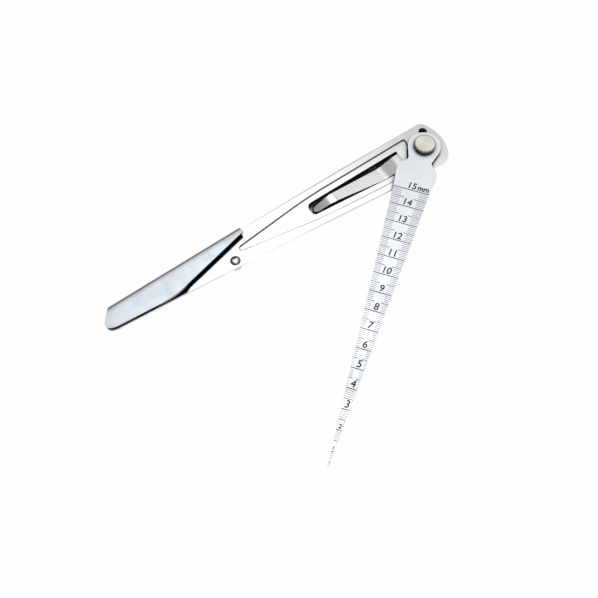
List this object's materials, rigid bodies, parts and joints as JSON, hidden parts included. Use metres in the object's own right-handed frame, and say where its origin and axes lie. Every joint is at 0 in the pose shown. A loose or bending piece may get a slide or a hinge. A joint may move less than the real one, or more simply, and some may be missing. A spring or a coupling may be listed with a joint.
{
  "type": "folding taper gauge",
  "caption": "Folding pocket gauge: a graduated steel wedge swings out of a stamped handle with a pocket clip and a folded tip guard.",
  "frame": {"origin": "on the pivot axis, at the flat back of the pivot bush", "axes": "+Z along the pivot axis, out of the face that the blade swings over; the handle runs towards -X and its folded edge lies towards +Y"},
  "size_m": [0.1584, 0.0981, 0.0074],
  "materials": {
    "handle_steel": "pressed stainless sheet, satin",
    "bush_steel": "turned",
    "washer_steel": "ground",
    "rivet_chrome": "polished",
    "blade_steel": "satin, with dark etched graduations",
    "spring_steel": "plain spring steel",
    "screw_steel": "turned face, knurled edge"
  },
  "bodies": {
    "handle": {"handle": "handle_steel", "pivot_bush": "bush_steel", "friction_washer": "washer_steel", "catch_rivet": "rivet_chrome", "spring_washer": "spring_steel"},
    "blade": {"gauge_blade": "blade_steel"},
    "screw": {"thumb_screw": "screw_steel"}
  },
  "joints": [
    {"name": "blade_pivot", "type": "hinge", "parent": "handle", "child": "blade", "pos_m": [0, 0, 0.00266], "axis": [0, 0, 1], "range_deg": [-41.4, 312]},
    {"name": "screw_turn", "type": "hinge", "parent": "handle", "child": "screw", "pos_m": [0, 0, 0.0044], "axis": [0, 0, 1], "range_deg": [0, 252]}
  ]
}
